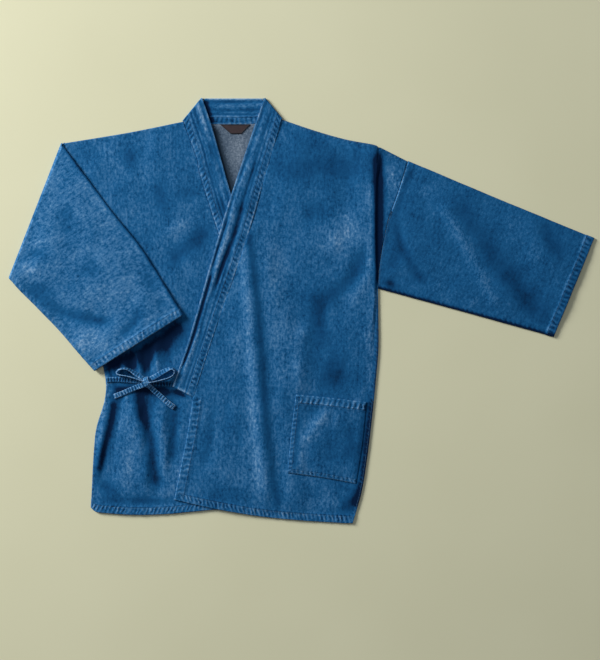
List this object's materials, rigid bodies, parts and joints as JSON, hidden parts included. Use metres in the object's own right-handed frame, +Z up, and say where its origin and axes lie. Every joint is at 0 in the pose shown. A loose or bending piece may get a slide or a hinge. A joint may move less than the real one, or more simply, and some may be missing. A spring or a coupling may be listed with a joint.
{
  "type": "samue jacket laid flat",
  "caption": "Wrap-front denim work jacket with a band collar, straight sleeves, a patch pocket and a tied bow, laid flat with one sleeve folded over its front.",
  "frame": {"origin": "on the surface that the jacket lies on, under the middle of its outline", "axes": "+X towards the wearer's left cuff, +Y towards the collar, +Z up from the back panel to the fronts"},
  "size_m": [1.1136, 0.8088, 0.0182],
  "materials": {
    "denim": "washed twill",
    "collar": "washed twill, edge-stitched",
    "pocket": "washed twill, edge-stitched",
    "tie": "washed twill strap, stitched",
    "label": "plain woven, bare"
  },
  "bodies": {
    "root": {"back": "denim", "front_left": "denim", "front_right": "denim", "sleeve_left": "denim", "sleeve_right": "denim", "collar_neck": "collar", "collar_left": "collar", "collar_right": "collar", "pocket": "pocket", "neck_label": "label", "tie_side_strap": "tie", "tie_side_loop": "tie", "tie_side_end": "tie", "tie_front_strap": "tie", "tie_front_loop": "tie", "tie_front_end": "tie", "tie_knot": "tie"}
  },
  "joints": []
}
